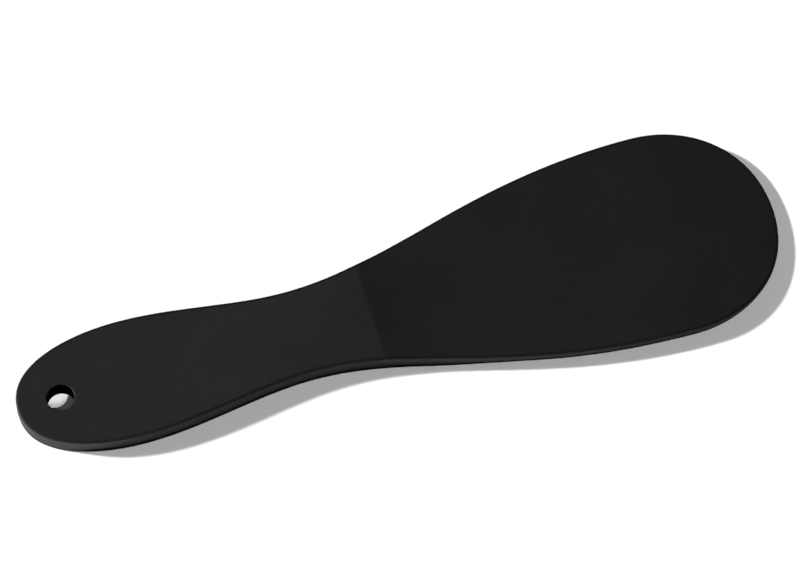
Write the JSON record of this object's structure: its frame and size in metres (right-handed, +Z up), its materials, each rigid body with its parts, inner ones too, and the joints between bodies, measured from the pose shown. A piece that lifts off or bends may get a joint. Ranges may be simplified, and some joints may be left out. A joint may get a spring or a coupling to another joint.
{
  "type": "shoehorn",
  "caption": "One-piece moulded plastic shoehorn: flat paddle handle with a hanging hole, narrow waist and a wide thin blade with a rounded tip.",
  "frame": {"origin": "on the surface that it lies on, at the middle of its length and of its width", "axes": "+X along the length from the handle's end to the blade's tip, +Y across the width, +Z up out of the top face"},
  "size_m": [0.18, 0.0502, 0.0058],
  "materials": {
    "black_plastic": "matt black moulded plastic, finely textured on the flat handle face and a little smoother and darker on the blade"
  },
  "bodies": {
    "root": {"shoehorn_body": "black_plastic"}
  },
  "joints": []
}
